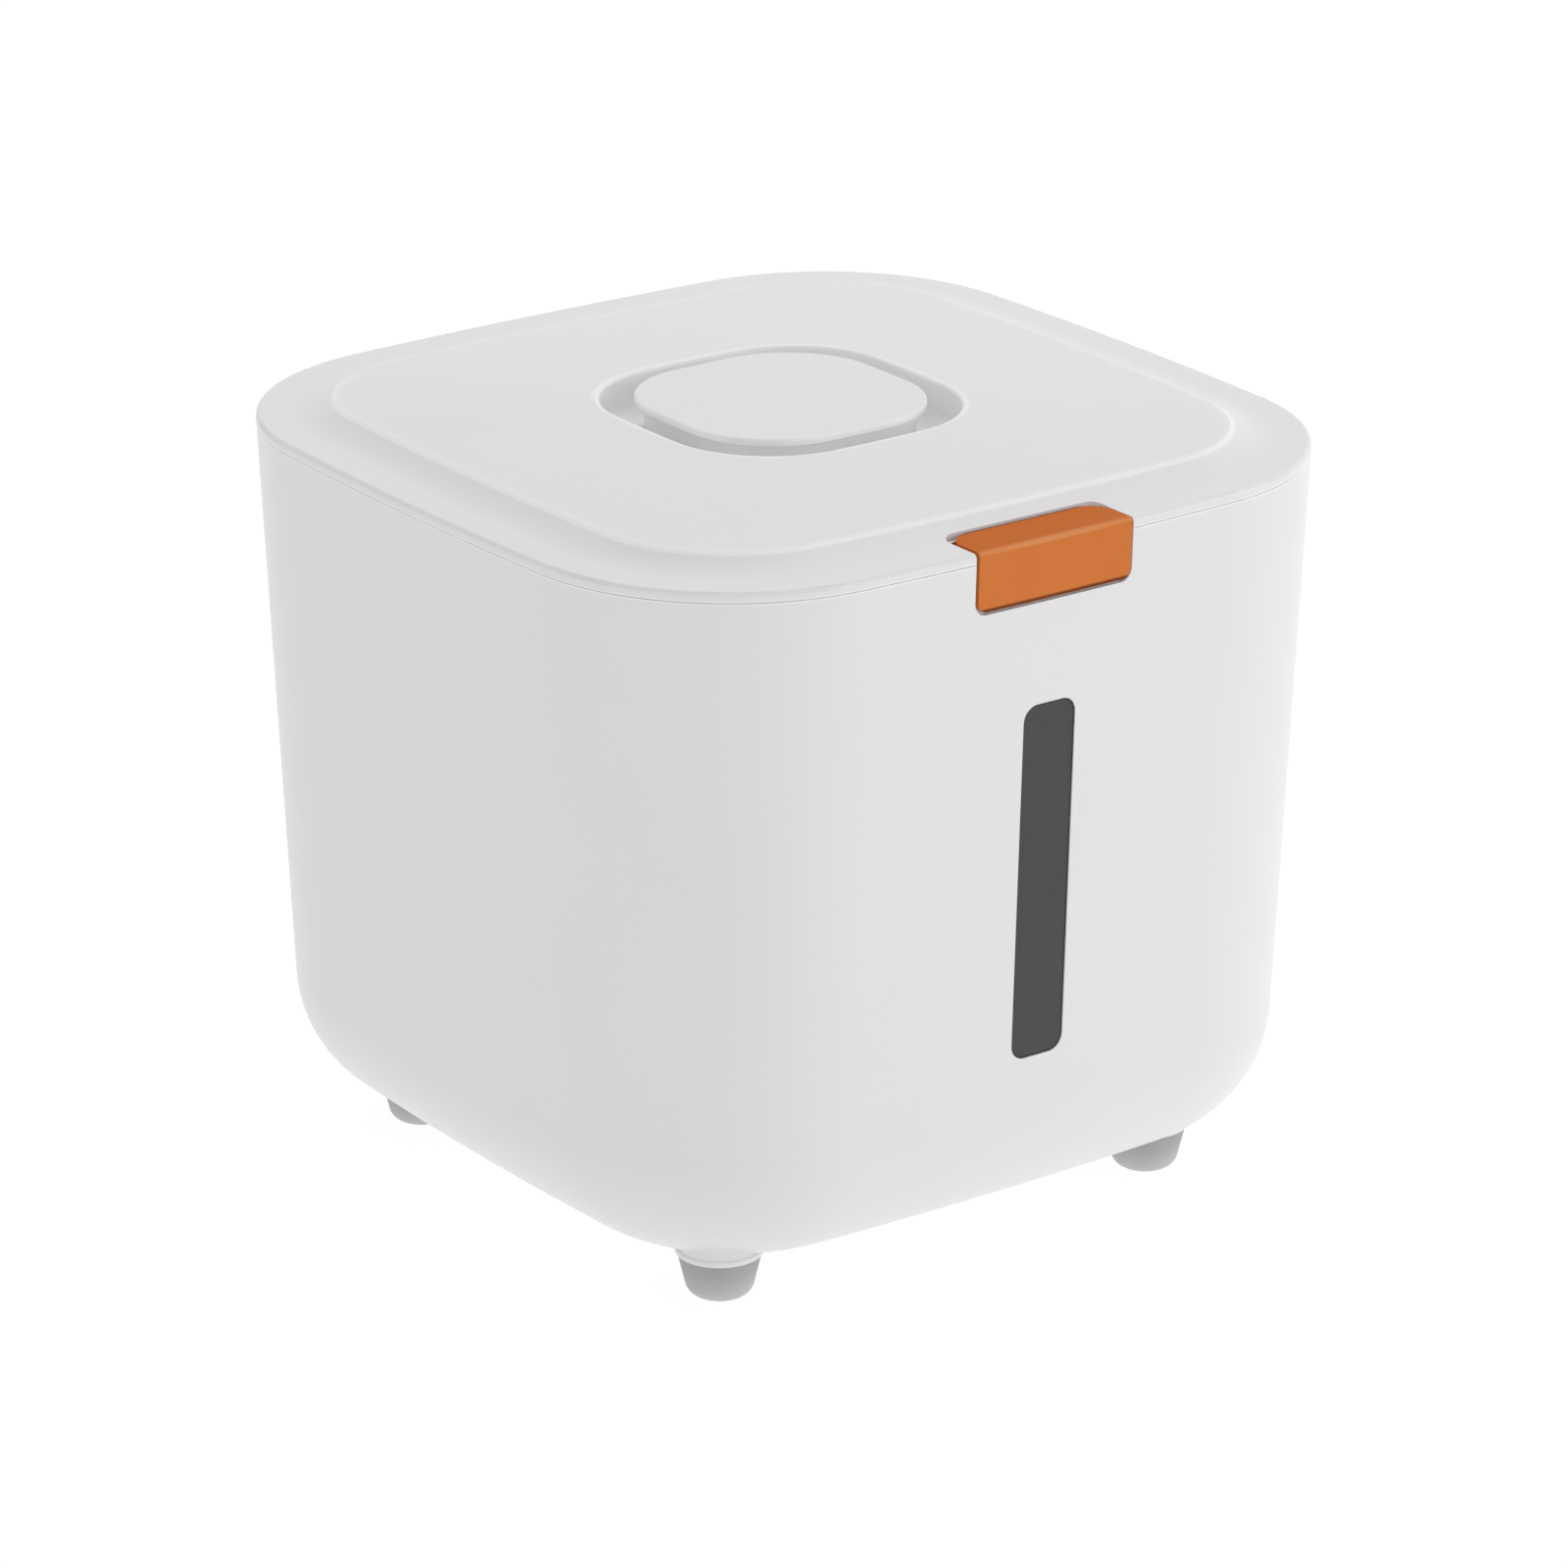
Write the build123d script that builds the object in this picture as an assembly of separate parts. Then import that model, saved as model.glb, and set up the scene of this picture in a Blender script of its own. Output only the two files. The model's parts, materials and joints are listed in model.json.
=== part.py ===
from build123d import *
from math import atan2, degrees, radians, sqrt, tan
import os

# Rice storage container, millimetres. Z is up, the floor is Z = 0, the front
# with the window and the latch faces -Y. The origin lies on the floor, on the
# tub's own axis.

# Tub: a square with bowed sides that leans in towards the bottom
WIDTH = 270.0
CORNER_RADIUS = 69.0
SIDE_BOW = 6.5
TUB_HEIGHT = 217.5
WALL_LEAN = 2.13
BOTTOM_RADIUS = 40.0
WALL = 2.6
FLOOR = 3.0
RIM_ROUND = 0.25
EDGE_BREAK = 0.5

# Level window on the front
WINDOW_WIDTH = 19.0
WINDOW_HEIGHT = 112.5
WINDOW_CORNER = 5.0
WINDOW_DROP = 47.5
WINDOW_FIT = 0.15
LENS_RECESS = 0.4
LENS_FLANGE = 6.0
LENS_THICKNESS = 1.8
GASKET_THICKNESS = 1.0
FRAME_BORDER = 5.0
FRAME_LIP = 1.8

# Feet
FOOT_HEIGHT = 15.6
FOOT_INSET = 54.0
COLLAR_DIAMETER = 26.8
COLLAR_THICKNESS = 2.0
COLLAR_LIP = 0.7
FOOT_TIP_DIAMETER = 19.0
FOOT_EDGE_RADIUS = 5.0
SPIGOT_DIAMETER = 13.0
SPIGOT_BORE = 7.0
SPIGOT_LENGTH = 9.0
SPIGOT_FIT = 0.1

# Rear hinges
HINGE_SPACING = 100.0
HINGE_REACH = 2.6
HINGE_DROP = 1.6
KNUCKLE_RADIUS = 2.2
HINGE_PIN_DIAMETER = 2.0
PIN_CLEARANCE = 0.05
TONGUE_WIDTH = 16.0
EAR_WIDTH = 6.0
HINGE_SIDE_GAP = 0.4
EAR_GUSSET = 14.0

# Lid cover: edge, coved ring, crowned panel and dish
PARTING_GAP = 0.2
LID_EDGE = 3.2
LID_DRIP_ROUND = 0.2
LID_EDGE_ROUND = 1.4
LID_SKIN = 2.2
RING_WIDTH = 24.25
RING_FLAT = 11.0
RING_RISE = 3.9
PANEL_EDGE_ROUND = 1.5
PANEL_CROWN = 2.7
DISH_WIDTH = 98.0
DISH_CORNER = 33.6
DISH_DEPTH = 12.0
DISH_DRAFT = 2.0
DISH_FLOOR_ROUND = 4.0
DISH_EDGE_ROUND = 1.2

# Lid liner and its seal
SKIRT_GAP = 1.6
SKIRT_WALL = 2.4
LINER_PLATE = 2.0
SEAL_COVER = 1.8
SEAL_HEIGHT = 3.4
SEAL_DEPTH = 1.0
SEAL_LIP = 0.8
SEAL_GAP = 0.35
LOCATING_RIB = 1.6
SNAP_BEAD = 0.5
LINER_RIB = 1.6
LINER_RIB_HEIGHT = 2.4

# Cap, its seal and the desiccant cup
CAP_WIDTH = 80.6
CAP_CORNER = 30.0
CAP_PROUD = 1.3
CAP_PLATE = 2.2
CAP_EDGE_ROUND = 0.9
NECK_INSET = 1.7
NECK_TAPER = 2.1
CAP_WALL = 2.0
PLUG_INSET = 9.0
PLUG_DEPTH = 7.0
PLUG_GAP = 0.9
PLUG_SEAL_HEIGHT = 2.4
CUP_WALL = 1.8
CUP_DEPTH = 20.0
CUP_FLANGE_INSET = 2.6
CUP_FLANGE = 1.6
CUP_ROUND = 3.0
CUP_FIT = 0.5
VENT_WIDTH = 1.6
VENT_PITCH = 5.4
SEAT_GAP = 0.2

# Latch flap, let into the front edge of the lid and the tub
LATCH_WIDTH = 55.3
LATCH_DEPTH = 16.7
LATCH_DROP = 18.5
LATCH_PROUD = 0.4
LATCH_SKIN = 1.5
LATCH_LIFT = 0.3
LATCH_BACK_CORNER = 8.0
LATCH_FOOT_CORNER = 3.0
LATCH_FOOT_GAP = 1.0
LATCH_FOLD_RADIUS = 1.2
LATCH_KNUCKLE = 1.5
LATCH_PIN_DIAMETER = 1.5
LATCH_CLEARANCE = 0.9
LATCH_BACK_GAP = 0.3
POCKET_CORNER = 4.0
POCKET_FLOOR = 2.0
HOOK_WIDTH = 38.0
HOOK_HEIGHT = 1.6
HOOK_REACH = 0.8
HOOK_RISE = 1.2
CATCH_DEPTH = 1.0
CATCH_PLAY = 0.9
CATCH_PAD = 1.2

# Levels and plan sizes that follow from the above
half = WIDTH / 2
side_radius = (half**2 + SIDE_BOW**2) / (2 * SIDE_BOW)
lean = tan(radians(WALL_LEAN))
rim = FOOT_HEIGHT + TUB_HEIGHT
lid_low = rim + PARTING_GAP
lid_top = lid_low + LID_EDGE
ring_under = lid_top - LID_SKIN
panel_edge = lid_top + RING_RISE
dish_rim = panel_edge + PANEL_CROWN
dish_floor = dish_rim - DISH_DEPTH
cap_top = dish_rim + CAP_PROUD
plate_under = cap_top - CAP_PLATE
cup_seat = dish_floor + SEAT_GAP
cap_seat = cup_seat + CUP_FLANGE + SEAT_GAP
hinge_y = half + HINGE_REACH
hinge_z = rim - HINGE_DROP
latch_top = lid_top + LATCH_LIFT
latch_foot = latch_top - LATCH_DROP
latch_inside = LATCH_SKIN - LATCH_PROUD
latch_recess = latch_inside + LATCH_BACK_GAP
hook_low = latch_foot + HOOK_RISE
hook_high = hook_low + HOOK_HEIGHT
pivot_y = half - LATCH_DEPTH + LATCH_KNUCKLE
pivot_z = latch_top - LATCH_KNUCKLE
latch_bore = LATCH_WIDTH + 2 * LATCH_CLEARANCE + POCKET_FLOOR
pocket_floor = pivot_z - LATCH_KNUCKLE - LATCH_CLEARANCE
pocket_under = pocket_floor - POCKET_FLOOR
seal_top = pocket_under - SEAL_COVER
seal_low = seal_top - SEAL_HEIGHT
liner_low = seal_low - LINER_PLATE
liner_top = liner_low + LINER_PLATE
skirt_inset = WALL + (rim - liner_low) * lean + SKIRT_GAP
foot_xy = half - FOOT_INSET
collar_low = FOOT_HEIGHT - COLLAR_THICKNESS

BASE = (Align.CENTER, Align.CENTER, Align.MIN)
TOP = (Align.CENTER, Align.CENTER, Align.MAX)


def bowed_square(half_width, corner, side):
    """Closed outline of four shallow side arcs and four corner arcs, all tangent."""
    reach = side - half_width
    centre = (sqrt(2 * (side - corner) ** 2 - reach**2) - reach) / 2
    join = degrees(atan2(centre, centre + reach))
    edges = []
    for quarter in range(4):
        side_arc = CenterArc((-reach, 0), side, -join, 2 * join)
        corner_arc = CenterArc((centre, centre), corner, join, 90 - 2 * join)
        edges.append(side_arc.rotate(Axis.Z, 90 * quarter))
        edges.append(corner_arc.rotate(Axis.Z, 90 * quarter))
    return Wire(edges)


def raised(wire, level):
    """Flat face bounded by a plan outline, at a height."""
    return Face(wire).moved(Location((0, 0, level)))


def tub_plan(inset, level):
    """Tub outline at a height, set in from the outside."""
    scale = 1 - (rim - level) * lean / half
    wire = bowed_square(half * scale - inset, CORNER_RADIUS * scale - inset, side_radius * scale - inset)
    return raised(wire, level)


def tub_form(inset, floor_inset, top):
    """Solid bin shape set in from the outside, rounded at the bottom."""
    form = loft([tub_plan(inset, FOOT_HEIGHT + floor_inset), tub_plan(inset, top)], ruled=True)
    return fillet(form.faces().sort_by(Axis.Z)[0].edges(), BOTTOM_RADIUS - inset)


def lid_plan(inset):
    """Lid outline, set in from the flush outer edge."""
    return bowed_square(half - inset, CORNER_RADIUS - inset, side_radius - inset)


def dish_plan(inset):
    """Outline of the dish in the lid."""
    dish_half = DISH_WIDTH / 2
    return bowed_square(dish_half - inset, DISH_CORNER - inset, side_radius * dish_half / half - inset)


def cap_plan(inset):
    """Outline of the cap, the plug and the cup."""
    cap_half = CAP_WIDTH / 2
    return bowed_square(cap_half - inset, CAP_CORNER - inset, side_radius * cap_half / half - inset)


def block(wire, low, high):
    """Upright solid over a plan outline."""
    return extrude(raised(wire, low), high - low)


def band(plan, outer, inner, low, high):
    """Upright ring between two insets of the same plan."""
    return block(plan(outer), low, high) - block(plan(inner), low, high)


def x_prism(profile, centre_x, width):
    """Solid of a side-view profile, drawn in Y and Z, spread evenly about a place on X."""
    face = Plane.YZ.offset(centre_x - width / 2) * profile
    return extrude(face, width)


def x_rod(y, z, radius, centre_x, length):
    """Round bar along X."""
    return x_prism(Pos(y, z) * Circle(radius), centre_x, length)


def front_prism(width, low, high, corner):
    """Upright rounded slot through the front wall."""
    slot = RectangleRounded(width, high - low, corner)
    return extrude(Plane.XZ.offset(half - CORNER_RADIUS / 2) * Pos(0, (low + high) / 2) * slot, CORNER_RADIUS)


def window_prism(margin, corner):
    """Slot for the window, wider than the window by a margin."""
    high = rim - WINDOW_DROP + margin
    return front_prism(WINDOW_WIDTH + 2 * margin, high - WINDOW_HEIGHT - 2 * margin, high, corner)


def latch_prism(margin, gap):
    """Front view of the flap, round at the foot, carried on past its top."""
    low = latch_foot - gap
    corner = LATCH_FOOT_CORNER + margin
    return front_prism(LATCH_WIDTH + 2 * margin, low, latch_top + LATCH_DROP, corner)


def front_skin(prism, outer, inner):
    """Part of a prism between two surfaces that run parallel to the tub's outside."""
    return (prism & tub_form(outer, outer, rim)) - tub_form(inner, inner, rim + 1)


def feet():
    """Places of the four feet."""
    places = {}
    for side, x in (("left", -foot_xy), ("right", foot_xy)):
        places["front_" + side] = (x, -foot_xy)
        places["rear_" + side] = (x, foot_xy)
    return places


def hinge_places():
    """Middle of each rear hinge along X."""
    return {"left": -HINGE_SPACING / 2, "right": HINGE_SPACING / 2}


def make_tub():
    tub = tub_form(0, 0, rim)
    tub = fillet(tub.faces().sort_by(Axis.Z)[-1].edges(), RIM_ROUND)
    # Ears of the hinges, with gussets down the rear wall
    root = half - BOTTOM_RADIUS / 4
    knee = KNUCKLE_RADIUS * sqrt(0.5)
    gusset = Polyline(
        (root, hinge_z),
        (hinge_y, hinge_z),
        (hinge_y + knee, hinge_z - knee),
        (root, hinge_z - KNUCKLE_RADIUS - EAR_GUSSET),
        close=True,
    )
    ear = make_face(gusset) + Pos(hinge_y, hinge_z) * Circle(KNUCKLE_RADIUS)
    shift = TONGUE_WIDTH / 2 + HINGE_SIDE_GAP + EAR_WIDTH / 2
    for x in hinge_places().values():
        for side in (-1, 1):
            tub += x_prism(ear, x + side * shift, EAR_WIDTH)
    # Recess that the latch flap lies in
    tub -= latch_prism(LATCH_CLEARANCE, LATCH_FOOT_GAP) - tub_form(latch_recess, latch_recess, rim + 1)
    # Foot bosses on the rounded bottom
    boss_radius = COLLAR_DIAMETER / 2 - COLLAR_LIP
    for x, y in feet().values():
        tub += Pos(x, y, FOOT_HEIGHT) * Cylinder(boss_radius, BOTTOM_RADIUS / 2, align=BASE)
    # Inside, then the window opening and the pin holes
    tub -= tub_form(WALL, FLOOR, rim + 1)
    tub -= window_prism(0, WINDOW_CORNER)
    bore = HINGE_PIN_DIAMETER / 2 + PIN_CLEARANCE
    for x in hinge_places().values():
        tub -= x_rod(hinge_y, hinge_z, bore, x, TONGUE_WIDTH + 4 * EAR_WIDTH)
    # Catch groove for the flap's hook, in a thicker patch of the wall below the lid liner
    groove_low = hook_low - LATCH_BACK_GAP
    groove_high = hook_high + CATCH_PLAY
    groove_width = HOOK_WIDTH + 2 * LATCH_CLEARANCE
    groove_floor = latch_recess + CATCH_DEPTH
    pad_low = groove_low - 2 * CATCH_PAD
    pad = front_prism(groove_width + 4 * CATCH_PAD, pad_low, liner_low - LATCH_CLEARANCE, CATCH_PAD)
    tub += front_skin(pad, groove_floor, WALL + CATCH_PAD)
    groove = front_prism(groove_width, groove_low, groove_high, EDGE_BREAK)
    tub -= front_skin(groove, latch_recess - EDGE_BREAK, groove_floor)
    return tub


def make_window():
    wall_face = WALL + WINDOW_FIT
    inside = wall_face + GASKET_THICKNESS
    behind = inside + LENS_THICKNESS
    flange_corner = WINDOW_CORNER + LENS_FLANGE
    plug = window_prism(-WINDOW_FIT, WINDOW_CORNER - WINDOW_FIT)
    sheet = window_prism(LENS_FLANGE, flange_corner)
    lens = front_skin(plug, LENS_RECESS, behind) + front_skin(sheet, inside, behind)
    gasket = front_skin(sheet - window_prism(0, WINDOW_CORNER), wall_face, inside)
    border = window_prism(LENS_FLANGE + FRAME_BORDER, flange_corner + FRAME_BORDER)
    seat = window_prism(LENS_FLANGE + WINDOW_FIT, flange_corner + WINDOW_FIT)
    frame = front_skin(border - seat, wall_face, behind)
    frame += front_skin(border - window_prism(0, WINDOW_CORNER), behind, behind + FRAME_LIP)
    return {"window_lens": lens, "window_gasket": gasket, "window_frame": frame}


def make_foot():
    """Collar with its hollow spigot, and the rubber tip pushed onto it, on the Z axis."""
    hole = SPIGOT_DIAMETER / 2 + SPIGOT_FIT
    collar = Pos(0, 0, collar_low) * Cylinder(COLLAR_DIAMETER / 2, COLLAR_THICKNESS, align=BASE)
    collar = fillet(collar.edges().filter_by(GeomType.CIRCLE), COLLAR_THICKNESS * 0.42)
    collar += Pos(0, 0, FOOT_HEIGHT) * Cylinder(SPIGOT_DIAMETER / 2, SPIGOT_LENGTH, align=TOP)
    collar -= Pos(0, 0, FOOT_HEIGHT) * Cylinder(SPIGOT_BORE / 2, SPIGOT_LENGTH, align=TOP)
    top_radius = COLLAR_DIAMETER / 2 - COLLAR_LIP
    tip = Cone(FOOT_TIP_DIAMETER / 2, top_radius, collar_low, align=BASE)
    tip = fillet(tip.edges().sort_by(Axis.Z)[0], FOOT_EDGE_RADIUS)
    socket = FOOT_HEIGHT - SPIGOT_LENGTH - SPIGOT_FIT
    tip -= Pos(0, 0, socket) * Cylinder(hole, collar_low - socket, align=BASE)
    return collar, tip


def ring_profile():
    """Section of the lid's edge and coved ring; X runs inwards from the outer edge."""
    lap = RING_WIDTH + 2 * LID_SKIN
    slope = PANEL_CROWN / (half - RING_WIDTH - DISH_WIDTH / 2)
    lap_top = panel_edge + (lap - RING_WIDTH) * slope
    shoulder = lid_top - LID_EDGE_ROUND
    bend = RING_WIDTH + LID_SKIN / 4
    lines = [
        Line((0, lid_low), (0, shoulder)),
        TangentArc((0, shoulder), (LID_EDGE_ROUND, lid_top), tangent=(0, 1)),
        Line((LID_EDGE_ROUND, lid_top), (RING_FLAT, lid_top)),
        TangentArc((RING_FLAT, lid_top), (RING_WIDTH, panel_edge), tangent=(1, 0)),
        Line((RING_WIDTH, panel_edge), (lap, lap_top)),
        Line((lap, lap_top), (lap, lap_top - LID_SKIN)),
        Line((lap, lap_top - LID_SKIN), (bend, panel_edge - LID_SKIN)),
        TangentArc((RING_FLAT, ring_under), (bend, panel_edge - LID_SKIN), tangent=(1, 0)),
        Line((RING_FLAT, ring_under), (LID_SKIN, ring_under)),
        Line((LID_SKIN, ring_under), (LID_SKIN, lid_low)),
        Line((LID_SKIN, lid_low), (0, lid_low)),
    ]
    section = make_face(lines)
    crest = section.vertices().sort_by_distance((RING_WIDTH, panel_edge, 0))[0]
    section = fillet(crest, PANEL_EDGE_ROUND)
    drip = section.vertices().sort_by_distance((0, lid_low, 0))[0]
    return fillet(drip, LID_DRIP_ROUND), lap, lap_top


def latch_plan(margin, corner):
    """Plan of the flap's top plate, round at the back; it runs out past the front edge."""
    back = -half + LATCH_DEPTH + margin
    front = -half - 4 * LATCH_PROUD
    sheet = Pos(0, (back + front) / 2) * Rectangle(LATCH_WIDTH + 2 * margin, back - front)
    return fillet(sheet.vertices().group_by(Axis.Y)[-1], corner)


def pocket_block(margin):
    """Walls and floor round the latch pocket; ends at the liner's skirt."""
    wall = POCKET_FLOOR + margin
    sheet = latch_plan(LATCH_CLEARANCE + wall, POCKET_CORNER + wall) & Face(lid_plan(skirt_inset))
    low = pocket_under - margin
    return extrude(Pos(0, 0, low) * sheet, lid_top - LATCH_LIFT - low)


def make_lid_cover():
    section, lap, lap_top = ring_profile()
    edge_plane = Plane((half, 0, 0), x_dir=(-1, 0, 0), z_dir=(0, 1, 0))
    cover = sweep(edge_plane * section, path=lid_plan(0))
    # Crowned panel, carried on to a little inside the dish's edge
    slope = PANEL_CROWN / (half - RING_WIDTH - DISH_WIDTH / 2)
    inner = 2 * DISH_DRAFT
    inner_top = dish_rim + inner * slope
    lift = Location((0, 0, -LID_SKIN))
    crown = loft([raised(lid_plan(lap), lap_top), raised(dish_plan(inner), inner_top)], ruled=True)
    panel = crown + block(lid_plan(lap), lap_top - LID_SKIN, lap_top) - crown.moved(lift)
    cover += panel
    # Dish with a drafted wall and a rounded floor
    bowl = dish_form(-LID_SKIN, dish_floor - LID_SKIN, dish_rim - LID_SKIN / 4, DISH_FLOOR_ROUND + LID_SKIN)
    cover += bowl
    cover -= dish_form(0, dish_floor, dish_rim + DISH_DEPTH / 4, DISH_FLOOR_ROUND)
    edge = [e for e in cover.edges() if is_dish_edge(e)]
    cover = fillet(edge, DISH_EDGE_ROUND)
    cover -= block(cap_plan(cup_hole()), dish_floor - DISH_DEPTH, dish_rim)
    # Rib that locates the liner, with a snap bead
    rib_out = skirt_inset + SKIRT_WALL + WINDOW_FIT
    bead_low = (ring_under + seal_top) / 2
    cover += band(lid_plan, rib_out, rib_out + LOCATING_RIB, seal_top, ring_under + LID_SKIN / 4)
    cover += band(lid_plan, rib_out - SNAP_BEAD, rib_out + LOCATING_RIB / 2, bead_low, bead_low + 2 * SNAP_BEAD)
    # Pocket for the latch flap
    cover += pocket_block(0)
    cover -= extrude(Pos(0, 0, pocket_floor) * latch_plan(LATCH_CLEARANCE, POCKET_CORNER), DISH_DEPTH)
    bore = LATCH_PIN_DIAMETER / 2 + PIN_CLEARANCE
    cover -= x_rod(-pivot_y, pivot_z, bore, 0, latch_bore)
    # Tongues of the rear hinges
    root = half - 2 * LID_SKIN
    clear = hinge_y - KNUCKLE_RADIUS
    arm = Polyline(
        (root, rim + PARTING_GAP / 2),
        (root, lid_top - LATCH_LIFT),
        (hinge_y, hinge_z + KNUCKLE_RADIUS),
        (hinge_y, hinge_z),
        (clear, hinge_z),
        (clear, rim + PARTING_GAP / 2),
        close=True,
    )
    tongue = make_face(arm) + Pos(hinge_y, hinge_z) * Circle(KNUCKLE_RADIUS)
    tongue -= Pos(hinge_y, hinge_z) * Circle(HINGE_PIN_DIAMETER / 2 + PIN_CLEARANCE)
    for x in hinge_places().values():
        cover += x_prism(tongue, x, TONGUE_WIDTH)
    return cover


def dish_form(inset, low, high, floor_round):
    """Tapered solid of the dish, rounded round its floor."""
    floor_plan = raised(dish_plan(inset + DISH_DRAFT), low)
    run = (high - low) / DISH_DEPTH
    mouth_plan = raised(dish_plan(inset + DISH_DRAFT - DISH_DRAFT * run), high)
    form = loft([floor_plan, mouth_plan], ruled=True)
    return fillet(form.faces().sort_by(Axis.Z)[0].edges(), floor_round)


def is_dish_edge(edge):
    """True for the edges where the panel turns down into the dish."""
    place = edge.center()
    near = abs(place.Z - dish_rim) < DISH_EDGE_ROUND / 2
    return near and max(abs(place.X), abs(place.Y)) < DISH_WIDTH / 2 + DISH_EDGE_ROUND


def cup_outside():
    return PLUG_INSET - PLUG_GAP - CUP_WALL


def cup_hole():
    return cup_outside() - CUP_FIT


def make_lid_liner():
    plate = block(lid_plan(skirt_inset), liner_low, liner_top)
    skirt_inner = skirt_inset + SKIRT_WALL
    liner = plate + band(lid_plan, skirt_inset, skirt_inner, liner_low, ring_under)
    liner -= band(lid_plan, skirt_inset - SEAL_GAP, skirt_inset + SEAL_DEPTH, seal_low, seal_top)
    bead_low = (ring_under + seal_top) / 2
    reach = SNAP_BEAD + WINDOW_FIT
    liner -= band(
        lid_plan,
        skirt_inner - reach,
        skirt_inner + SNAP_BEAD,
        bead_low - WINDOW_FIT,
        bead_low + 2 * SNAP_BEAD + WINDOW_FIT,
    )
    # Well round the cup, and ribs from it to the skirt
    well = cup_hole() - SKIRT_WALL
    dish_under = dish_floor - LID_SKIN
    rib_length = half - skirt_inset - SKIRT_WALL / 2
    for turn in range(0, 360, 45):
        rib = Pos(rib_length / 2, 0, liner_top) * Box(rib_length, LINER_RIB, LINER_RIB_HEIGHT, align=BASE)
        liner += Rot(0, 0, turn) * rib
    liner += block(cap_plan(well), liner_low, dish_under)
    liner -= block(cap_plan(cup_hole()), liner_low - LINER_PLATE, dish_under + LINER_PLATE)
    liner -= pocket_block(WINDOW_FIT)
    return liner


def lip_seal(plan, tip, face, root, low, high):
    """Ring seated in a groove, with two thin lips that reach out to a wall."""
    seal = band(plan, face, root, low, high)
    for lip_low in (low + SEAL_LIP / 4, high - SEAL_LIP * 1.25):
        seal += band(plan, tip, (face + root) / 2, lip_low, lip_low + SEAL_LIP)
    return seal


def make_lid_seal():
    tip = WALL + (rim - seal_low) * lean + SEAL_GAP
    return lip_seal(lid_plan, tip, skirt_inset - SEAL_GAP, skirt_inset + SEAL_DEPTH, seal_low, seal_top)


def make_cap():
    plate = block(cap_plan(0), plate_under, cap_top)
    plate = fillet(plate.faces().sort_by(Axis.Z)[-1].edges(), CAP_EDGE_ROUND)
    plate = fillet(plate.faces().sort_by(Axis.Z)[0].edges(), CAP_EDGE_ROUND / 2)
    hollow = NECK_INSET + NECK_TAPER + CAP_WALL
    plate += band(cap_plan, hollow + WINDOW_FIT, hollow + CAP_WALL, plate_under - CAP_PLATE, plate_under)
    neck_low = raised(cap_plan(NECK_INSET + NECK_TAPER), cap_seat)
    body = loft([neck_low, raised(cap_plan(NECK_INSET), plate_under)], ruled=True)
    body -= block(cap_plan(hollow), cap_seat + CAP_WALL, plate_under)
    body += band(cap_plan, PLUG_INSET, PLUG_INSET + CAP_WALL, cap_seat - PLUG_DEPTH, cap_seat)
    groove_low = cap_seat - PLUG_DEPTH / 2 - PLUG_SEAL_HEIGHT / 2
    groove_high = groove_low + PLUG_SEAL_HEIGHT
    root = PLUG_INSET + CAP_WALL / 2
    body -= band(cap_plan, PLUG_INSET - SEAL_GAP, root, groove_low, groove_high)
    tip = PLUG_INSET - PLUG_GAP + SEAL_GAP
    seal = lip_seal(cap_plan, tip, PLUG_INSET - SEAL_GAP / 2, root, groove_low, groove_high)
    return {"cap_plate": plate, "cap_body": body, "cap_seal": seal}


def make_cup():
    outer = cup_outside()
    inner = outer + CUP_WALL
    low = dish_floor - CUP_DEPTH
    mouth = cup_seat + CUP_FLANGE
    cup = block(cap_plan(outer), low, mouth)
    cup = fillet(cup.faces().sort_by(Axis.Z)[0].edges(), CUP_ROUND)
    cup += block(cap_plan(CUP_FLANGE_INSET), cup_seat, mouth)
    cup -= block(cap_plan(inner), low + CUP_WALL, mouth)
    # Vents in the floor, too narrow for a grain, with a bar left across the middle
    reach = CAP_WIDTH / 2 - inner - CUP_ROUND
    count = int(reach // VENT_PITCH)
    slot = Box(VENT_WIDTH, reach, 2 * CUP_WALL, align=(Align.CENTER, Align.MIN, Align.CENTER))
    floor = block(cap_plan(inner + CUP_ROUND), low - CUP_WALL, low + 2 * CUP_WALL)
    for step in range(-count, count + 1):
        for turn in (0, 180):
            vent = Rot(0, 0, turn) * Pos(step * VENT_PITCH, CUP_WALL, low) * slot
            cup -= vent & floor
    return cup


def make_latch_flap():
    outside = tub_form(-LATCH_PROUD, 0, latch_top)
    skirt = (latch_prism(0, 0) & outside) - tub_form(latch_inside, 0, latch_top + 1)
    plate = Pos(0, 0, latch_top - LATCH_SKIN) * latch_plan(0, LATCH_BACK_CORNER)
    flap = skirt + (extrude(plate, LATCH_SKIN) & outside)
    fold = flap.edges().filter_by(lambda e: is_flap_rim(e) and abs(e.center().X) < 1e-3).group_by(Axis.Y)[0]
    flap = fillet(fold.sort_by(Axis.Z)[-1], LATCH_FOLD_RADIUS)
    # Hook that catches in the tub's groove
    inner = -half + (rim - hook_low) * lean + latch_inside
    nose = Polyline(
        (inner - LATCH_SKIN / 2, hook_low),
        (inner + HOOK_REACH / 2, hook_low),
        (inner + HOOK_REACH, hook_low + HOOK_REACH / 2),
        (inner + HOOK_REACH, hook_high),
        (inner - LATCH_SKIN / 2, hook_high),
        close=True,
    )
    flap += x_prism(make_face(nose), 0, HOOK_WIDTH)
    # Barrel on the pin, along the straight part of the back edge
    flap += x_rod(-pivot_y, pivot_z, LATCH_KNUCKLE, 0, LATCH_WIDTH - 2 * LATCH_BACK_CORNER)
    return flap - x_rod(-pivot_y, pivot_z, LATCH_PIN_DIAMETER / 2 + PIN_CLEARANCE, 0, WIDTH)


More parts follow.
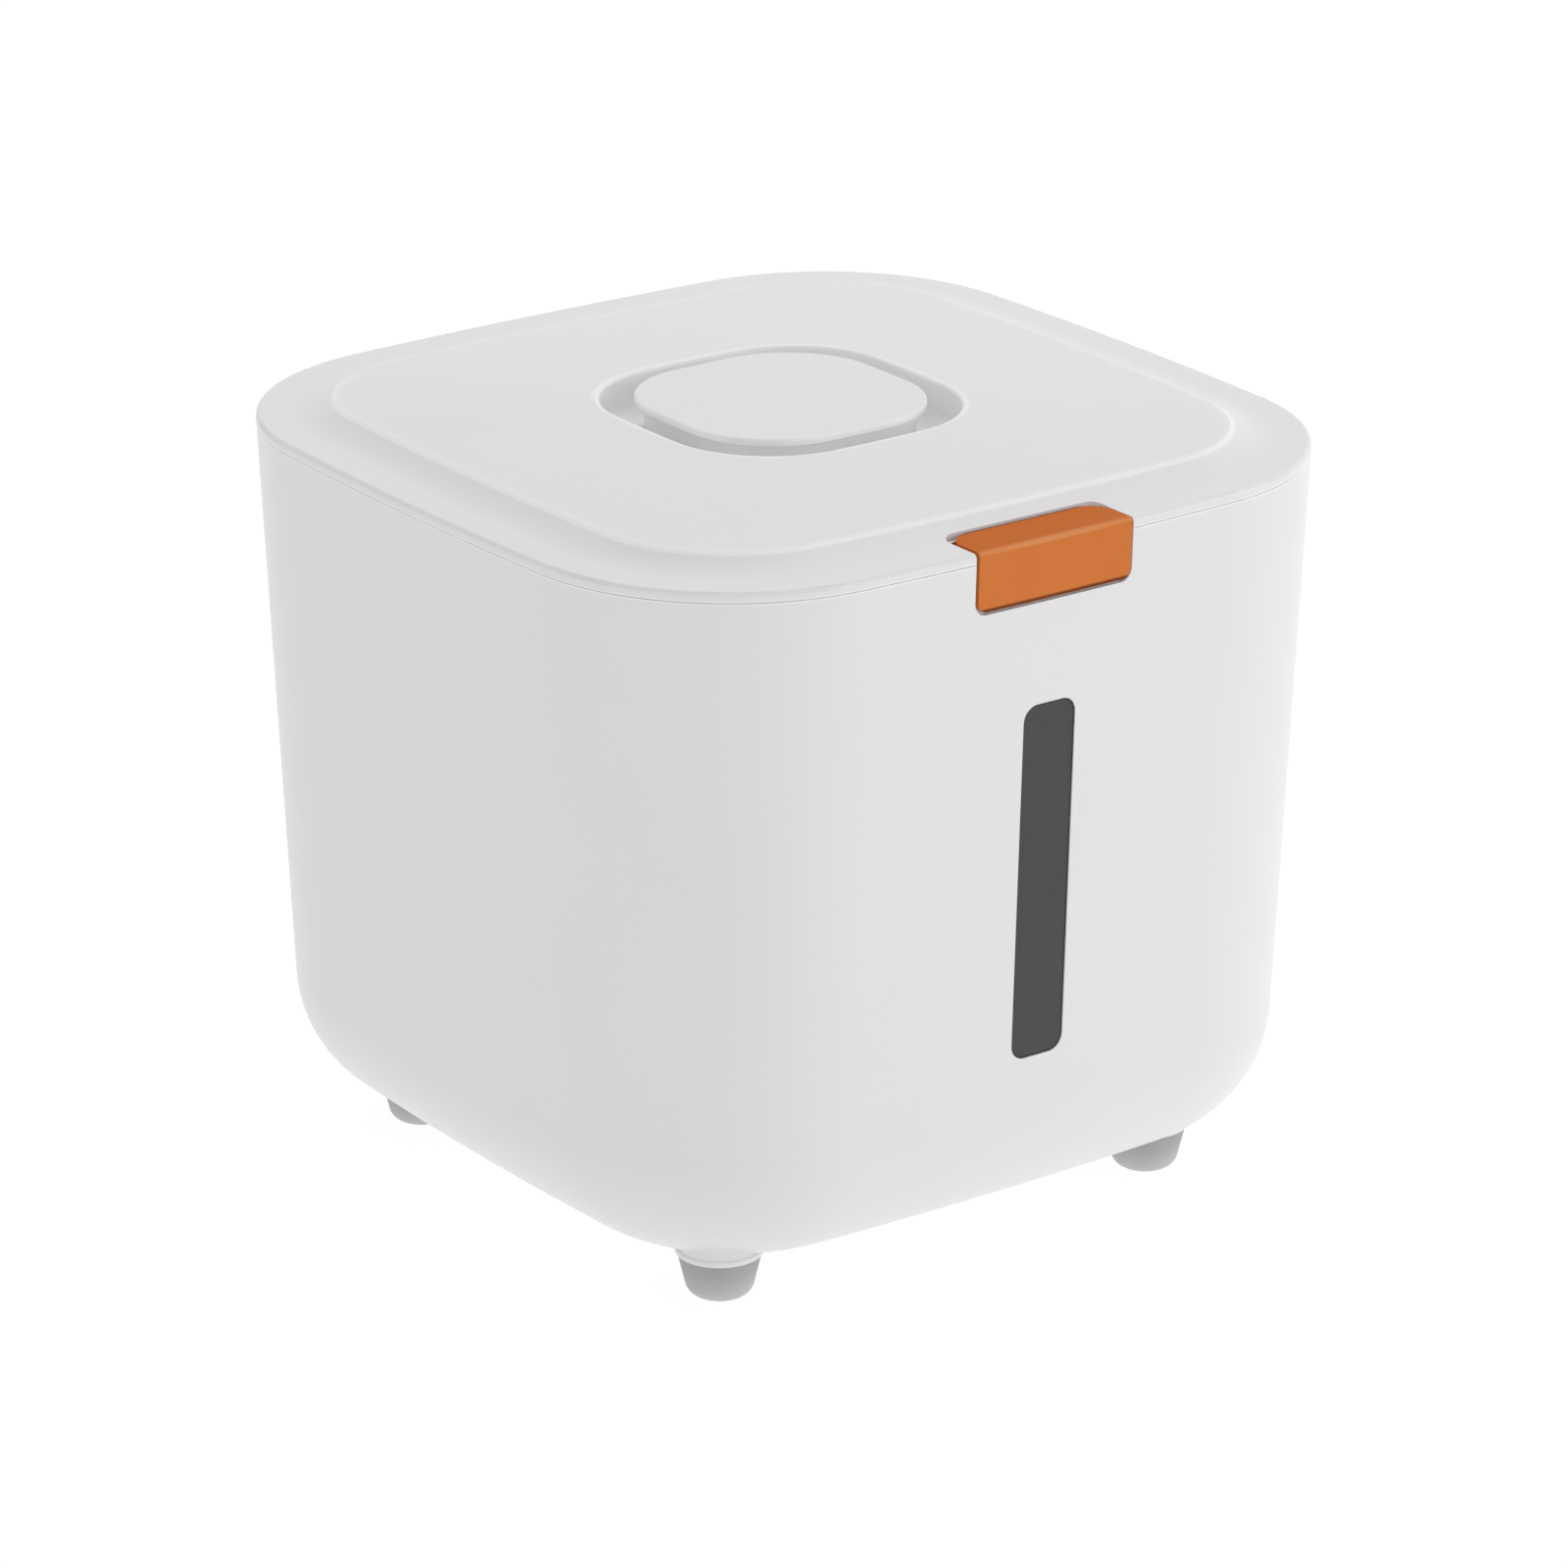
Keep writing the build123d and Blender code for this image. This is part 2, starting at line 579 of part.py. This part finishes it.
def is_flap_rim(edge):
    """True for the edges round the flap's outside, from the back of the top plate to the foot."""
    place = edge.center()
    bow = place.X**2 / (2 * side_radius)
    front = -half - LATCH_PROUD + (rim - place.Z) * lean + bow
    return abs(place.Z - latch_top) < 1e-3 or place.Y < front + EDGE_BREAK / 5


os.makedirs("parts", exist_ok=True)

pieces = {"tub": make_tub()}
pieces.update(make_window())
foot_collar, rubber_foot = make_foot()
for place, (x, y) in feet().items():
    pieces["foot_collar_" + place] = Pos(x, y, 0) * foot_collar
    pieces["rubber_foot_" + place] = Pos(x, y, 0) * rubber_foot
pin_length = TONGUE_WIDTH + 2 * HINGE_SIDE_GAP + 2 * EAR_WIDTH
for place, x in hinge_places().items():
    pieces["hinge_pin_" + place] = x_rod(hinge_y, hinge_z, HINGE_PIN_DIAMETER / 2, x, pin_length)
pieces["lid_cover"] = make_lid_cover()
pieces["lid_liner"] = make_lid_liner()
pieces["lid_seal"] = make_lid_seal()
pieces["latch_pin"] = x_rod(-pivot_y, pivot_z, LATCH_PIN_DIAMETER / 2, 0, latch_bore - 2 * SEAT_GAP)
pieces["latch_flap"] = make_latch_flap()
pieces["desiccant_cup"] = make_cup()
pieces.update(make_cap())

for name, piece in pieces.items():
    export_step(piece, os.path.join("parts", name + ".step"))
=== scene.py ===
import bpy
import json
from math import cos, radians, sin
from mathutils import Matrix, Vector


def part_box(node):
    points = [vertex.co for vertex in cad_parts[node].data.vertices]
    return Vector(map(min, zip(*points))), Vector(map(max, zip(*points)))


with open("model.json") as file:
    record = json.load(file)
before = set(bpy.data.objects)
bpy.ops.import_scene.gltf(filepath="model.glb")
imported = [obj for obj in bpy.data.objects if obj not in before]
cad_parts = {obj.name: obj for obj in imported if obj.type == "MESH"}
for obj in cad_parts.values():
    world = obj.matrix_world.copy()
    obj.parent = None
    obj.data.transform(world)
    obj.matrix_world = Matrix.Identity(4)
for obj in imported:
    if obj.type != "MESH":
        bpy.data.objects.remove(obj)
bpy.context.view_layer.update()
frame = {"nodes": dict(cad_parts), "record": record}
nodes = frame["nodes"]
scene = bpy.context.scene
scene.view_settings.view_transform = "Standard"
WHITE = (1.0, 1.0, 1.0, 1.0)


class Value:
    """A node's output; sums, products and powers of it add Math nodes."""

    def __init__(self, finish, socket):
        self.finish = finish
        self.socket = socket

    def maths(self, operation, first, second):
        return self.finish.node("Math", {"operation": operation}, {0: first, 1: second})

    def __add__(self, other):
        return self.maths("ADD", self, other)

    def __radd__(self, other):
        return self.maths("ADD", other, self)

    def __sub__(self, other):
        return self.maths("SUBTRACT", self, other)

    def __rsub__(self, other):
        return self.maths("SUBTRACT", other, self)

    def __mul__(self, other):
        return self.maths("MULTIPLY", self, other)

    def __rmul__(self, other):
        return self.maths("MULTIPLY", other, self)

    def __pow__(self, other):
        return self.maths("POWER", self, other)

    def __abs__(self):
        return self.maths("ABSOLUTE", self, 0)

    def above(self, floor):
        """The larger of the two."""
        return self.maths("MAXIMUM", self, floor)

    def below(self, ceiling):
        """The smaller of the two."""
        return self.maths("MINIMUM", self, ceiling)

    def ramp(self, width):
        """0 where this is below zero, rising to 1 over the width."""
        return (self * (1 / width)).above(0).below(1)


class Finish:
    """A node tree, of a material or of the world, and the nodes in it."""

    def __init__(self, owner):
        owner.use_nodes = True
        self.owner = owner
        self.tree = owner.node_tree
        self.tree.nodes.clear()

    def node(self, kind, settings, sockets, output=0):
        """Adds a node with these settings and socket values or links, and gives one output."""
        made = self.tree.nodes.new("ShaderNode" + kind)
        for key, setting in settings.items():
            setattr(made, key, setting)
        for key, content in sockets.items():
            if isinstance(content, Value):
                self.tree.links.new(content.socket, made.inputs[key])
            else:
                made.inputs[key].default_value = content
        return Value(self, made.outputs[output])

    def place(self, stretch=(1, 1, 1)):
        """Object coordinates, stretched to run a pattern along an axis."""
        point = self.node("TexCoord", {}, {}, "Object")
        return self.node("Mapping", {}, {"Vector": point, "Scale": stretch})

    def axes(self, point):
        """The point's X, Y and Z."""
        return [self.node("SeparateXYZ", {}, {0: point}, axis) for axis in "XYZ"]

    def noise(self, point, size, detail=2.0):
        """Soft noise, 0 to 1, whose blobs are about this size in metres."""
        return self.node("TexNoise", {}, {"Vector": point, "Scale": 1 / size, "Detail": detail}, "Fac")

    def blend(self, share, first, second):
        """Colour between two others."""
        ends = [end if isinstance(end, Value) else (*end, 1.0) for end in (first, second)]
        mix_sockets = {0: share, 6: ends[0], 7: ends[1]}
        return self.node("Mix", {"data_type": "RGBA"}, mix_sockets, 2)

    def surface(self, colour, roughness, relief, depth, **constants):
        """Principled shader with a bumped surface; depth is the bump's height in metres."""
        normal = self.node("Bump", {}, {"Height": relief, "Distance": depth, "Strength": 1.0})
        sockets = {"Base Color": colour, "Roughness": roughness, "Normal": normal}
        for name, constant in constants.items():
            sockets[name.replace("_", " ")] = constant
        return self.shown(self.node("BsdfPrincipled", {}, sockets))

    def seen(self):
        """1 for rays from the camera, a reflection or a clear piece, and 0 for other light."""
        camera, glossy, through = [
            self.node("LightPath", {}, {}, f"Is {ray} Ray") for ray in ("Camera", "Glossy", "Transmission")
        ]
        return camera.above(glossy).above(through)

    def shown(self, shader, output="OutputMaterial"):
        """The material or world, with this shader as its surface."""
        made = self.tree.nodes.new("ShaderNode" + output)
        self.tree.links.new(shader.socket, made.inputs["Surface"])
        return self.owner


def new_finish(name):
    """An empty material."""
    return Finish(bpy.data.materials.new(name))


def moulded_white():
    """Satin moulded plastic: fine grain, faint flow clouds and handling marks.

    It has painted light: it is painted paler down in the dish, over the shade there, with painted
    highlights along thin edges: the dish's rim, the cap plate's edge and the panel's rounded top edge,
    and it is painted paler over the shadow of the seam between lid and tub.
    """
    finish = new_finish("moulded_white")
    dull, bright = (0.845, 0.831, 0.837), (0.875, 0.861, 0.867)
    # Painted light: near-whites that lift the shade in the dish, paint highlights on thin edges and cover
    # the seam's shadow.
    painted_light_white, parting_light_white = (0.975, 0.962, 0.968), (0.99, 0.98, 0.985)
    cap_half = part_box("cap_plate")[1].x
    plate_edge, dish_rim = cap_half - 0.0011, cap_half + 0.0100
    dish_floor, dish_fade = 0.2295, 0.0012
    crest_foot, crest_rise, crest_top, crest_fade = 0.2394, 0.0004, 0.2405, 0.0002
    parting_height, parting_reach, parting_fade = 0.2332, 0.0007, 0.0003
    point = finish.place()
    across, along, height = finish.axes(point)
    # Cubes and a cube root follow the rounded square of the dish and the cap.
    around = (abs(across) ** 3 + abs(along) ** 3) ** (1 / 3)
    outside = (around - dish_rim).ramp(dish_fade)
    # Painted light over the shade down in the dish, with a painted highlight on the cap plate's edge and
    # the dish's rim.
    painted_dish_light = (1 - outside) * (around - plate_edge).ramp(dish_fade) * (height - dish_floor).ramp(dish_fade)
    # Painted highlight along the panel's rounded top edge.
    painted_crest_highlight = (height - crest_foot).ramp(crest_rise) * (crest_top - height).ramp(crest_fade) * outside
    # Painted light over the shadow line of the seam between lid and tub.
    painted_parting_light = (parting_reach - abs(height - parting_height)).ramp(parting_fade)
    clouds = finish.noise(point, size=0.06)
    grain = finish.noise(point, size=0.0006, detail=3.0)
    marks = finish.noise(point, size=0.012, detail=4.0)
    colour = finish.blend(clouds * 0.7 + grain * 0.3, dull, bright)
    colour = finish.blend(painted_dish_light.above(painted_crest_highlight), colour, painted_light_white)
    colour = finish.blend(painted_parting_light, colour, parting_light_white)
    roughness = 0.26 + marks * 0.08 + grain * 0.06
    return finish.surface(colour, roughness, grain, depth=0.000012, Specular_IOR_Level=0.45)


def inner_white():
    """Plain moulded plastic of the hidden pieces: duller, with draw lines from the mould."""
    finish = new_finish("inner_white")
    dull, bright = (0.83, 0.822, 0.81), (0.86, 0.852, 0.845)
    lines = finish.noise(finish.place(stretch=(1, 1, 0.04)), size=0.0012, detail=3.0)
    clouds = finish.noise(finish.place(), size=0.03)
    colour = finish.blend(clouds, dull, bright)
    return finish.surface(colour, 0.42 + lines * 0.12, lines, depth=0.00002)


def latch_orange():
    """Satin orange plastic with a fine grain.

    It has painted shade on top, a painted highlight along the fold, and painted shade along the foot and
    the back edge.
    """
    finish = new_finish("latch_orange")
    dull, bright = (0.655, 0.192, 0.044), (0.73, 0.221, 0.058)
    # Painted light: a shade colour for the top, a highlight colour for the fold and a near-black shade for
    # the foot and back edge.
    top_shade_orange, fold_highlight_orange, edge_shade_orange = (0.62, 0.148, 0.016), (0.86, 0.38, 0.16), (0.12, 0.025, 0.008)
    low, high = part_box("latch_flap")
    face_depth, fold_line, foot_line, back_line, fade = 0.0020, 0.0014, 0.0013, 0.0008, 0.0006
    point = finish.place()
    _, along, height = finish.axes(point)
    # Painted shade over the top plate, behind the front face.
    painted_top_shade = (along - (low.y + face_depth)).ramp(fade)
    # Painted highlight along the fold between top plate and front face.
    painted_fold_highlight = (height - along - (high.z - low.y - fold_line)).ramp(fade)
    # Painted shade along the foot and the back edge, where the gaps beside the flap are dark.
    over_foot, over_back = low.z + foot_line - height, along - (high.y - back_line)
    painted_edge_shade = over_foot.above(over_back).ramp(fade)
    grain = finish.noise(point, size=0.0005, detail=3.0)
    clouds = finish.noise(point, size=0.02, detail=3.0)
    colour = finish.blend(clouds * 0.6 + grain * 0.4, dull, bright)
    colour = finish.blend(painted_top_shade * 0.8, colour, top_shade_orange)
    colour = finish.blend(painted_fold_highlight * 0.6, colour, fold_highlight_orange)
    colour = finish.blend(painted_edge_shade * 0.85, colour, edge_shade_orange)
    return finish.surface(colour, 0.42 + clouds * 0.1, grain, depth=0.000012, Specular_IOR_Level=0.03)


def smoked_window():
    """Smoked plastic sheet, polished, with faint draw lines, wiped smears and painted shade along its
    edge.
    """
    finish = new_finish("smoked_window")
    # The first colour is the black of the painted shade along the edge.
    dark, smoke = (0.0, 0.0, 0.0), (0.042, 0.042, 0.043)
    flange, corner, edge = 0.00615, 0.00485, 0.0006
    low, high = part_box("window_lens")
    half_width, half_height = high.x - flange, (high.z - low.z) / 2 - flange
    across, _, height = finish.axes(finish.place())
    over_side = (abs(across) - (half_width - corner)).above(0)
    over_end = (abs(height - (high.z + low.z) / 2) - (half_height - corner)).above(0)
    inwards = corner - (over_side ** 2 + over_end ** 2) ** 0.5
    # Painted shade: the sheet is painted black along its edge, fading to the smoke colour inside.
    clear = (inwards - edge / 2).ramp(edge / 2)
    lines = finish.noise(finish.place(stretch=(1, 1, 0.03)), size=0.0008)
    smears = finish.noise(finish.place(stretch=(1, 1, 0.35)), size=0.006, detail=4.0)
    colour = finish.blend(clear * (0.8 + smears * 0.2), dark, smoke)
    return finish.surface(colour, 0.22 + smears * 0.16, lines, depth=0.000006, IOR=1.49)


def foot_rubber():
    """Grey moulded rubber: matt, with a coarse grain and dust in it, and painted light that makes it paler
    towards the ground.
    """
    finish = new_finish("foot_rubber")
    # The third colour is painted light for the foot's lower end.
    dark, dusty, ground_light_grey = (0.360, 0.356, 0.358), (0.435, 0.430, 0.433), (0.720, 0.713, 0.717)
    foot_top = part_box("rubber_foot_front_left")[1].z
    point = finish.place()
    _, _, height = finish.axes(point)
    grain = finish.noise(point, size=0.0008, detail=4.0)
    dust = finish.noise(point, size=0.008, detail=3.0)
    # Painted light: paler towards the ground, darker up under the collar.
    painted_ground_light = (1 - height * (1 / foot_top)).above(0) ** 1.6
    colour = finish.blend(dust, dark, dusty)
    colour = finish.blend(painted_ground_light * 0.8, colour, ground_light_grey)
    return finish.surface(colour, 0.62 + grain * 0.2, grain, depth=0.00004)


def milky_silicone():
    """Milky silicone of the seals, a little dusty."""
    finish = new_finish("milky_silicone")
    dull, milky = (0.70, 0.70, 0.68), (0.80, 0.80, 0.785)
    point = finish.place()
    dust = finish.noise(point, size=0.004, detail=4.0)
    grain = finish.noise(point, size=0.0006)
    colour = finish.blend(dust, dull, milky)
    return finish.surface(colour, 0.38 + dust * 0.25, grain, depth=0.00001)


def drawn_steel():
    """Drawn steel wire of the pins, with lines along it."""
    finish = new_finish("drawn_steel")
    dark, bright = (0.50, 0.50, 0.51), (0.66, 0.66, 0.67)
    lines = finish.noise(finish.place(stretch=(0.02, 1, 1)), size=0.0003, detail=3.0)
    colour = finish.blend(lines, dark, bright)
    return finish.surface(colour, 0.22 + lines * 0.2, lines, depth=0.000008, Metallic=1.0)


def dress_nodes():
    """Gives every CAD node the finish of its material slot."""
    finishes = {
        "white_plastic": moulded_white(),
        "inner_white_plastic": inner_white(),
        "orange_plastic": latch_orange(),
        "smoked_plastic": smoked_window(),
        "grey_rubber": foot_rubber(),
        "silicone": milky_silicone(),
        "steel": drawn_steel(),
    }
    for subpart in frame["record"]["subparts"]:
        mesh = nodes[subpart["node"]].data
        mesh.materials.clear()
        mesh.materials.append(finishes[subpart["material_slot"]])


def glowing_paint(finish, grey, glow):
    """Matt paint of this grey that also gives off an even white glow."""
    paint = finish.node("BsdfDiffuse", {}, {"Color": (grey, grey, grey, 1.0)})
    light = finish.node("Emission", {}, {"Color": WHITE, "Strength": glow})
    return finish.node("AddShader", {}, {0: paint, 1: light})


def studio_floor():
    """Pale floor that shows white, keeps a soft shadow round the feet and is clear from below."""
    bpy.ops.object.select_all(action="DESELECT")
    bpy.ops.mesh.primitive_circle_add(vertices=96, radius=6.0, fill_type="NGON", location=(0, 0, 0))
    floor = bpy.context.object
    floor.name = "studio_floor"
    finish = new_finish("pale_floor")
    white = glowing_paint(finish, grey=0.2, glow=0.88)
    lighting = glowing_paint(finish, grey=0.4, glow=0.57)
    top = finish.node("MixShader", {}, {0: finish.seen(), 1: lighting, 2: white})
    under = finish.node("NewGeometry", {}, {}, "Backfacing")
    clear = finish.node("BsdfTransparent", {}, {})
    mixed = finish.node("MixShader", {}, {0: under, 1: top, 2: clear})
    floor.data.materials.append(finish.shown(mixed))


def soft_box(name, place, size, power, glints=True):
    """Square lamp that looks at the container; without glints it isn't mirrored in it."""
    aim = Vector((0, 0, 0.12))
    data = bpy.data.lights.new(name, "AREA")
    data.size = size
    data.energy = power
    lamp = bpy.data.objects.new(name, data)
    lamp.location = place
    lamp.rotation_euler = (aim - Vector(place)).to_track_quat("-Z", "Y").to_euler()
    lamp.visible_glossy = glints
    scene.collection.objects.link(lamp)


def studio_light():
    """White room with soft boxes at the right and overhead, and a weak one in front."""
    soft_box("right_soft_box", place=(2.4, -1.9, 0.6), size=1.6, power=21.5)
    soft_box("top_soft_box", place=(1.25, 0.95, 1.95), size=1.3, power=12.5, glints=False)
    soft_box("front_soft_box", place=(-1.25, -1.75, 1.15), size=1.0, power=2)
    room = Finish(bpy.data.worlds.new("white_room"))
    lighting = room.node("Background", {}, {"Color": WHITE, "Strength": 0.61})
    backdrop = room.node("Background", {}, {"Color": WHITE, "Strength": 1.0})
    mixed = room.node("MixShader", {}, {0: room.seen(), 1: lighting, 2: backdrop})
    scene.world = room.shown(mixed, "OutputWorld")


def photo_camera():
    """Long lens from the front left, a little above."""
    turn, rise, distance = radians(-35.919), radians(20.735), 2.1247
    aim = Vector((0, 0, 0.11857))
    back = Vector((sin(turn) * cos(rise), -cos(turn) * cos(rise), sin(rise)))
    data = bpy.data.cameras.new("photo_camera")
    data.lens = 158.63
    data.sensor_width = 36
    data.shift_x = 0.00234
    data.shift_y = 0.00121
    camera = bpy.data.objects.new("photo_camera", data)
    camera.location = aim + back * distance
    camera.rotation_euler = (-back).to_track_quat("-Z", "Y").to_euler()
    scene.collection.objects.link(camera)
    scene.camera = camera


photo_camera()
dress_nodes()
studio_floor()
studio_light()
